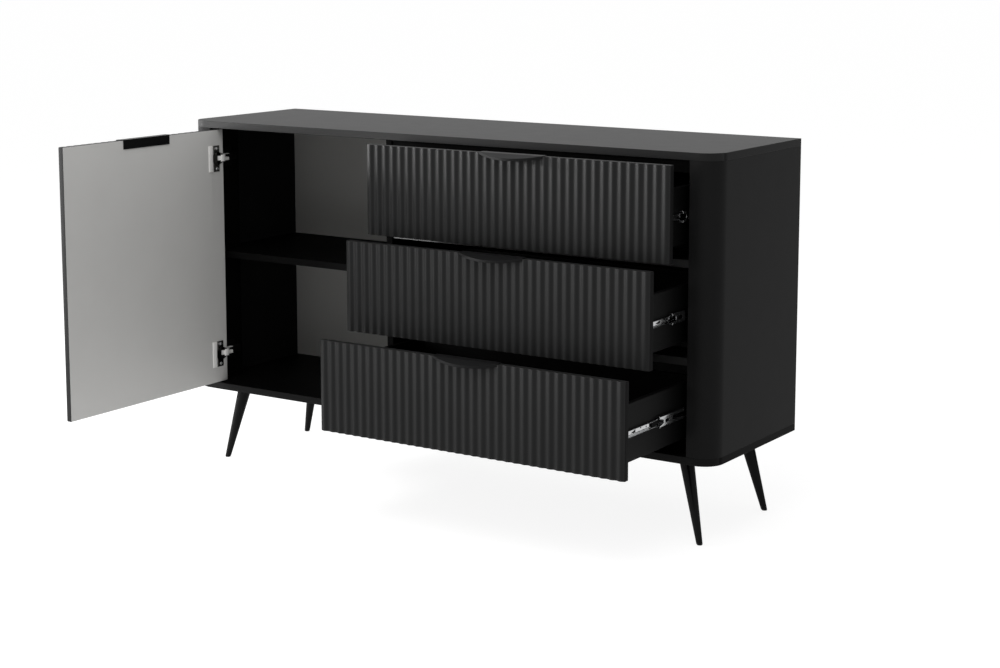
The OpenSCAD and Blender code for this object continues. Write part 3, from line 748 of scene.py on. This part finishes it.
def drawer_member(level):
    """Members on the drawer, with their release levers."""
    node, body = f"{level}_runner_inner", f"{level}_drawer"
    bm, cuts, levers = bmesh.new(), bmesh.new(), bmesh.new()
    for side in SIDES:
        place = runner_place(level, "inner", side)
        pressed_channel(bm, INNER, place)
        punch(cuts, INNER_HOLES, INNER_CUT, place)
        loft(levers, [[place(y, w, u) for y, w in ring] for ring, u in LEVER_LEVELS])
    carve(add_piece(f"{node}_member", bm, body, [zinc], node), cuts)
    add_piece(f"{level}_runner_release_levers", levers, body, [black_cap], node)


def middle_member(level):
    """Members between drawer and cabinet, with their ball cages."""
    node, body = f"{level}_runner_middle", f"{level}_slide"
    bm, cuts, cages, balls = bmesh.new(), bmesh.new(), bmesh.new(), bmesh.new()
    for side in SIDES:
        place = runner_place(level, "middle", side)
        pressed_channel(bm, MIDDLE, place)
        punch(cuts, MIDDLE_HOLES, MIDDLE_CUT, place)
        for way in SIDES:
            loft(cages, [[place(y, way * w, u) for u, w in CAGE] for y in CAGE_SPAN])
            for y in BALL_PLACES:
                spot = Matrix.Translation(place(y, way * BALL_W, BALL_U))
                bmesh.ops.create_icosphere(balls, subdivisions=2, radius=BALL_R * MM, matrix=spot)
    carve(add_piece(f"{node}_member", bm, body, [zinc], node), cuts)
    add_piece(f"{level}_runner_ball_cages", cages, body, [zinc], node)
    add_piece(f"{level}_runner_balls", balls, body, [nickel], node, smooth_angle=80)


def cabinet_member(level):
    """Members on the cabinet, with their screws and stops."""
    node, body = f"{level}_runner_outer", "cabinet"
    bm, cuts, heads, stops = bmesh.new(), bmesh.new(), bmesh.new(), bmesh.new()
    for side in SIDES:
        place = runner_place(level, "outer", side)
        pressed_channel(bm, OUTER, place)
        punch(cuts, OUTER_HOLES, OUTER_CUT, place)
        for y in SCREW_PLACES:
            lathe(heads, ROUND_HEAD, facing(place(y, 0, STEEL), (-side, 0, 0), (0, 0, 1)), 20)
        prism(stops, STOP, *STOP_LEVELS, place)
    carve(add_piece(f"{node}_member", bm, body, [zinc], node), cuts)
    add_piece(f"{level}_runner_screws", heads, body, [screw_steel], node)
    add_piece(f"{level}_runner_stops", stops, body, [black_plastic], node)


for level in LEVELS:
    drawer_member(level)
    middle_member(level)
    cabinet_member(level)


# ---- Hinges ----
# The bowl, the eye and the depth screw are sections (radius, height); the cup's other parts are sections
# (a, h) or outlines (a, b), and the arm's parts are outlines (x, y) or sections (x, h).

CUP_STEPS = 64
CUP_R = 17.5
CUP_DEPTH = 11
CUP_FROM_EDGE = 23
PIN_FROM_CUP = 11.5
PIN_DEPTH = 5
FLANGE_HALF = 31
MOUTH_R = 16.4
BOWL = [(0.0, -10.9), (15.6, -10.9), (16.6, -10.6), (17.3, -9.6), (17.3, -0.05), (MOUTH_R, -0.05),
        (MOUTH_R, -8.4), (16.0, -9.3), (15.0, -9.9), (0.0, -9.9)]
EAR = [(-14.1, -9.9), (-8.9, -9.9), (-8.9, -2.9), (-9.6, -2.9), (-14.1, -2.9)]
EAR_SPAN = (5.6, 7.4)
FLANGE = [(-9.0, 0.0), (-9.0, 0.9), (-8.6, 1.2), (9.4, 1.2), (9.9, 1.5), (10.4, 2.1), (11.6, 2.3),
          (12.6, 1.9), (13.1, 1.1), (13.4, 0.6), (13.8, 0.0)]
FLANGE_ENDS = ((0.0, 0.45), (0.5, 1.0))
WING = [(-9.0, 8.5), (-9.0, 14.5), (-21.0, 9.5), (-21.0, 8.5)]
WING_LEVELS = (0.05, 1.1)
COVER = [(14.4, 0.0), (14.4, 1.3), (15.0, 2.1), (16.5, 2.5), (19.5, 2.5), (23.5, 2.2), (26.6, 1.5),
         (28.0, 0.6), (28.0, 0.0)]
COVER_ENDS = ((0.0, 0.3), (1.0, 0.85), (2.2, 1.0))
DAMPER = arc(0, 0, 16.1, -96, 96, 24)
DAMPER_LEVELS = ((-9.7, 0.97), (0.55, 0.99), (0.85, 0.97), (0.95, 0.93))
EYE = [(1.6, -5.2), (3.0, -5.2), (3.1, -5.1), (3.1, 5.1), (3.0, 5.2), (1.6, 5.2)]
LINK = [(2.6, 0.95), (6.3, 2.29)]
LINK_T = 2.4
LINK_SPAN = (-5.1, 5.1)
HOOK = [(6.2, 2.3), (7.1, 3.0), (7.75, 4.4), (7.75, 12.3), (7.45, 13.6), (6.6, 14.5), (5.4, 14.79),
        (-9.0, 14.79)]
HOOK_LEVELS = ((-7.9, 1.9), (-7.5, 2.4), (7.5, 2.4), (7.9, 1.9))
CHANNEL = mirrored([(-2.6, 7.4), (-9.4, 7.4), (-10.4, 7.0), (-10.9, 6.0)])
CHANNEL_T = 1.15
CHANNEL_SPAN = (16.2, 41.5)
SLIDE = [(-9.9, -0.6), (-9.9, -6.5), (-4.4, -6.5), (-3.7, -6.2), (-3.2, -5.6), (-3.0, -4.8), (-3.0, -2.4),
         (-3.2, -1.5), (-3.7, -0.9), (-4.4, -0.6)]
SLIDE_SPAN = (16.4, 41.2)
# Painted shade: a thin black sheet in the upper half of the arm's channel, where the channel lies in
# shade.
CHANNEL_SHADE = [(-10.3, 6.2), (-10.3, 0.3), (-9.2, 0.3), (-9.2, 6.2)]
CHANNEL_SHADE_SPAN = (16.6, 41.0)
DEPTH_SCREW = [(0.0, 2.4), (2.1, 2.4), (2.5, 2.0), (2.5, 0.0), (0.0, 0.0)]
DEPTH_SCREW_PLACE = (-10.2, 33, 3.2)
CAP_FOOT = -11.4
CAP = mirrored([(-2.5, 5.0), (-2.7, 6.4), (-3.2, 7.4), (-4.3, 7.9), (CAP_FOOT, 7.9)])
CAP_SECTIONS = ((41.7, 0.96), (42.2, 1.0), (67.5, 1.0), (68.8, 0.97), (69.4, 0.88))

door_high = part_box("door_panel")[1]
cup_y = door_high.y - CUP_FROM_EDGE * MM


def hinge_z(name):
    low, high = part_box(f"{name}_hinge_cup")
    return (low.z + high.z) / 2


def on_cup(name):
    """Turns (a, b, h) to the frame: a to the door's free edge, b up and h out of its inner face."""
    z = hinge_z(name)
    return lambda a, b, h: (door_high.x + h * MM, cup_y - a * MM, z + b * MM)


def on_arm(name):
    """Turns (x, y, h) from the hinge pin to the frame: x out of the batten, y to the back and h up."""
    pin_x, pin_y, z = door_high.x - PIN_DEPTH * MM, cup_y + PIN_FROM_CUP * MM, hinge_z(name)
    return lambda x, y, h: (pin_x + x * MM, pin_y + y * MM, z + h * MM)


def plate_skin(bm, section, ends, place):
    """Plate with a section (a, h) along b; ends says what share of its height it has near both ends."""
    rows = [(inset - FLANGE_HALF, share) for inset, share in ends]
    rows += [(-b, share) for b, share in reversed(rows)]
    loft(bm, [[place(a, b, h * share) for a, h in section] for b, share in rows])


def cup_bowl(name, place):
    bm = bmesh.new()
    lathe(bm, BOWL, place, CUP_STEPS)
    for way in SIDES:
        loft(bm, [[place(a, way * b, h) for a, h in EAR] for b in EAR_SPAN])
    add_piece(f"{name}_hinge_cup_bowl", bm, "door", [nickel], f"{name}_hinge_cup")


def cup_flange(name, place):
    bm, mouth = bmesh.new(), bmesh.new()
    plate_skin(bm, FLANGE, FLANGE_ENDS, place)
    for way in SIDES:
        prism(bm, [(a, way * b) for a, b in WING], *WING_LEVELS, place)
    lathe(mouth, [(MOUTH_R, 3), (MOUTH_R, -1)], place, CUP_STEPS)
    flange = add_piece(f"{name}_hinge_flange", bm, "door", [nickel], f"{name}_hinge_cup")
    carve(flange, mouth, crossing=True)


def damper_cover(name, place):
    bm = bmesh.new()
    plate_skin(bm, COVER, COVER_ENDS, place)
    add_piece(f"{name}_hinge_damper_cover", bm, "door", [satin_nickel], f"{name}_hinge_cup")


def damper_housing(name, place):
    bm = bmesh.new()
    loft(bm, [[place(a * k, b * k, h) for a, b in DAMPER] for h, k in DAMPER_LEVELS])
    add_piece(f"{name}_hinge_damper_housing", bm, "door", [nickel], f"{name}_hinge_cup")


def along_arm(section, span, place):
    """Bar with a section (x, h) along the arm."""
    bm = bmesh.new()
    loft(bm, [[place(x, y, h) for x, h in section] for y in span])
    return bm


def pressed_arm(name, place):
    """Eye round the pin, link, hook over the batten's edge and channel along the batten."""
    bm = along_arm(strip_profile(CHANNEL, CHANNEL_T), CHANNEL_SPAN, place)
    bush(bm, EYE, place)
    prism(bm, strip_profile(LINK, LINK_T), *LINK_SPAN, place)
    loft(bm, [[place(x, y, h) for x, y in strip_profile(HOOK, t)] for h, t in HOOK_LEVELS])
    add_piece(f"{name}_hinge_arm_pressed", bm, "cabinet", [satin_nickel], f"{name}_hinge_arm")


def arm_fittings(name, place):
    """Slide, a black sheet painted in as shade in the channel, depth screw and cap in and on the arm."""
    node, body = f"{name}_hinge_arm", "cabinet"
    slide = along_arm(SLIDE, SLIDE_SPAN, place)
    add_piece(f"{node}_slide", slide, body, [satin_nickel], node)
    channel_shade = along_arm(CHANNEL_SHADE, CHANNEL_SHADE_SPAN, place)
    add_piece(f"{node}_liner", channel_shade, body, [black_cap], node)
    screw, cap = bmesh.new(), bmesh.new()
    lathe(screw, DEPTH_SCREW, facing(place(*DEPTH_SCREW_PLACE), (1, 0, 0), (0, 0, 1)))
    add_piece(f"{name}_hinge_depth_screw", screw, body, [screw_steel], node)
    loft(cap, [[place(CAP_FOOT + (x - CAP_FOOT) * k, y, h * k) for x, h in CAP] for y, k in CAP_SECTIONS])
    add_piece(f"{node}_cap", cap, body, [black_cap], node)


bores = bmesh.new()
for name in ("upper", "lower"):
    lathe(bores, [(CUP_R, 2), (CUP_R, -CUP_DEPTH)], on_cup(name), CUP_STEPS)
    cup_bowl(name, on_cup(name))
    cup_flange(name, on_cup(name))
    damper_cover(name, on_cup(name))
    damper_housing(name, on_cup(name))
    pressed_arm(name, on_arm(name))
    arm_fittings(name, on_arm(name))
carve(door, bores)


# ---- Studio ----

WHITE = (1.0, 1.0, 1.0, 1.0)
WORLD_LIGHT = 0.45
FLOOR_BOUNCE = 0.8
FLOOR_SHOWN = 0.30
FLOOR_GLOW = 0.86
FLOOR_REACH = 40.0


def panel_light(name, location, target, size, power):
    """Soft rectangular light that looks at a target."""
    light = bpy.data.lights.new(name, "AREA")
    light.shape = "RECTANGLE"
    light.size, light.size_y = size
    light.energy = power
    obj = bpy.data.objects.new(name, light)
    bpy.context.scene.collection.objects.link(obj)
    obj.location = location
    obj.rotation_euler = (Vector(target) - obj.location).to_track_quat("-Z", "Y").to_euler()


def mix_if_seen(tree_nodes, links, hidden, seen):
    """Mix of a shader that only lights the object and one for camera, glossy and transmission rays."""
    path = tree_nodes.new("ShaderNodeLightPath").outputs
    direct = math_node(tree_nodes, links, "MAXIMUM", path["Is Camera Ray"], path["Is Glossy Ray"])
    direct = math_node(tree_nodes, links, "MAXIMUM", direct, path["Is Transmission Ray"])
    mix = tree_nodes.new("ShaderNodeMixShader")
    links.new(direct, mix.inputs["Fac"])
    links.new(hidden, mix.inputs[1])
    links.new(seen, mix.inputs[2])
    return mix.outputs[0]


def glowing(tree_nodes, kind, strength):
    """White background or emission shader."""
    node = tree_nodes.new(kind)
    node.inputs["Color"].default_value = WHITE
    node.inputs["Strength"].default_value = strength
    return node.outputs[0]


def diffuse(tree_nodes, grey):
    node = tree_nodes.new("ShaderNodeBsdfDiffuse")
    node.inputs["Color"].default_value = (grey, grey, grey, 1.0)
    return node.outputs[0]


def white_world():
    """White background that lights the object at a lower strength."""
    world = bpy.data.worlds.new("studio")
    bpy.context.scene.world = world
    world.use_nodes = True
    tree_nodes, links = world.node_tree.nodes, world.node_tree.links
    tree_nodes.clear()
    dim = glowing(tree_nodes, "ShaderNodeBackground", WORLD_LIGHT)
    white = glowing(tree_nodes, "ShaderNodeBackground", 1.0)
    out = tree_nodes.new("ShaderNodeOutputWorld")
    links.new(mix_if_seen(tree_nodes, links, dim, white), out.inputs["Surface"])


def floor_material():
    """Floor that looks near white with a faint shadow, and lights the object as a light grey floor."""
    mat, tree_nodes, links = new_material("pale_floor")
    shown = tree_nodes.new("ShaderNodeAddShader")
    links.new(glowing(tree_nodes, "ShaderNodeEmission", FLOOR_GLOW), shown.inputs[0])
    links.new(diffuse(tree_nodes, FLOOR_SHOWN), shown.inputs[1])
    out = tree_nodes.new("ShaderNodeOutputMaterial")
    mix = mix_if_seen(tree_nodes, links, diffuse(tree_nodes, FLOOR_BOUNCE), shown.outputs[0])
    links.new(mix, out.inputs["Surface"])
    return mat


white_world()
bm = bmesh.new()
bmesh.ops.create_grid(bm, x_segments=1, y_segments=1, size=FLOOR_REACH)
floor = new_object("floor", bm, [floor_material()])

panel_light("left_panel", location=(-3.2, -0.8, 1.17), target=(0.0, -0.3, 0.7), size=(1.5, 0.24),
            power=98.0)
panel_light("front_left_panel", location=(-2.7, -2.5, 0.85), target=(0.1, -0.3, 0.5), size=(2.2, 1.5),
            power=86.0)
panel_light("top_panel_light", location=(0.5, -2.2, 3.6), target=(0.0, -0.2, 0.5), size=(3.0, 2.0),
            power=50.0)

CAMERA_PLACE = (2.4883, -3.6779, 1.238)
CAMERA_PITCH = -8.388
CAMERA_TURN = 33.513
scene = bpy.context.scene
scene.view_settings.view_transform = "Standard"
camera_data = bpy.data.cameras.new("camera")
camera_data.sensor_width = 36.0
camera_data.lens = 70.94
camera_data.shift_y = -0.10
camera = bpy.data.objects.new("camera", camera_data)
scene.collection.objects.link(camera)
camera.location = CAMERA_PLACE
camera.rotation_euler = (math.radians(90 + CAMERA_PITCH), 0.0, math.radians(CAMERA_TURN))
scene.camera = camera
